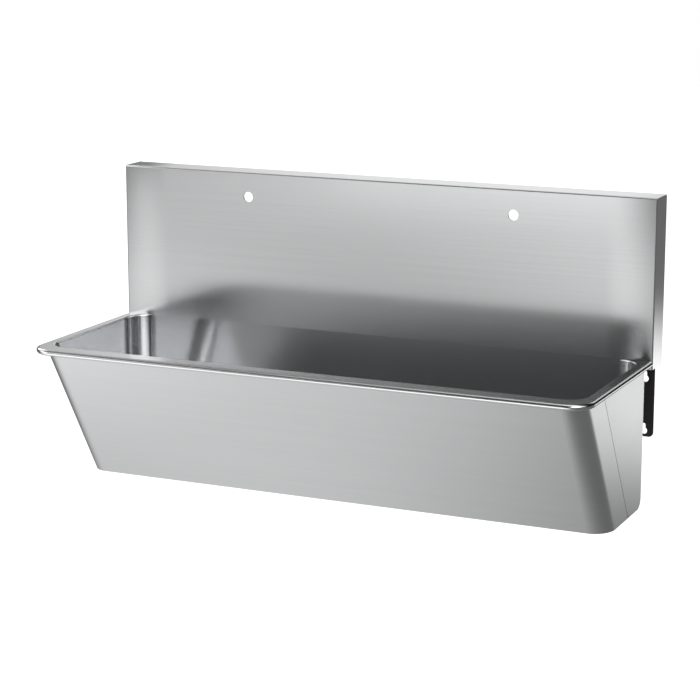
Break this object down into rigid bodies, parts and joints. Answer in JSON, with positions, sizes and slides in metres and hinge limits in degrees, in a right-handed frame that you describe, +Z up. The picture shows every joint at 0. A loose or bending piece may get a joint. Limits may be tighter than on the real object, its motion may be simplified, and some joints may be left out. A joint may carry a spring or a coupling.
{
  "type": "trough sink",
  "caption": "Wall-hung stainless trough sink with a high splashback pierced for taps, a rolled rim, a sloping front apron and a deep basin with a grated waste.",
  "frame": {"origin": "centre of the four wall fixings, on the wall plane", "axes": "+X to the right seen from the front, +Y into the wall, +Z up"},
  "size_m": [1.4, 0.553, 0.7695],
  "materials": {
    "satin_steel": "satin, brushed along the length",
    "hidden_steel": "mill finish",
    "zinc_steel": "zinc plated",
    "black_paint": "matt powder coat",
    "chrome": "polished",
    "brass": "turned",
    "seal_rubber": "matt",
    "slip_plastic": "smooth",
    "pad_rubber": "matt"
  },
  "bodies": {
    "root": {"splashback": "satin_steel", "tap_backing_plates": "zinc_steel", "bowl": "satin_steel", "rim": "satin_steel", "front_apron": "satin_steel", "end_plate_left": "satin_steel", "end_plate_right": "satin_steel", "apron_ribs": "hidden_steel", "wall_bracket_left": "black_paint", "wall_bracket_right": "black_paint", "bracket_studs": "hidden_steel", "bracket_washers": "zinc_steel", "bracket_nuts": "zinc_steel", "waste_body": "chrome", "waste_upper_seal": "seal_rubber", "waste_lower_seal": "seal_rubber", "waste_slip_washer": "slip_plastic", "waste_back_nut": "chrome", "strainer_grid": "satin_steel", "strainer_screw": "hidden_steel", "earth_tag": "hidden_steel", "earth_bolt": "brass", "earth_nut": "brass", "damping_pads": "pad_rubber"}
  },
  "joints": []
}
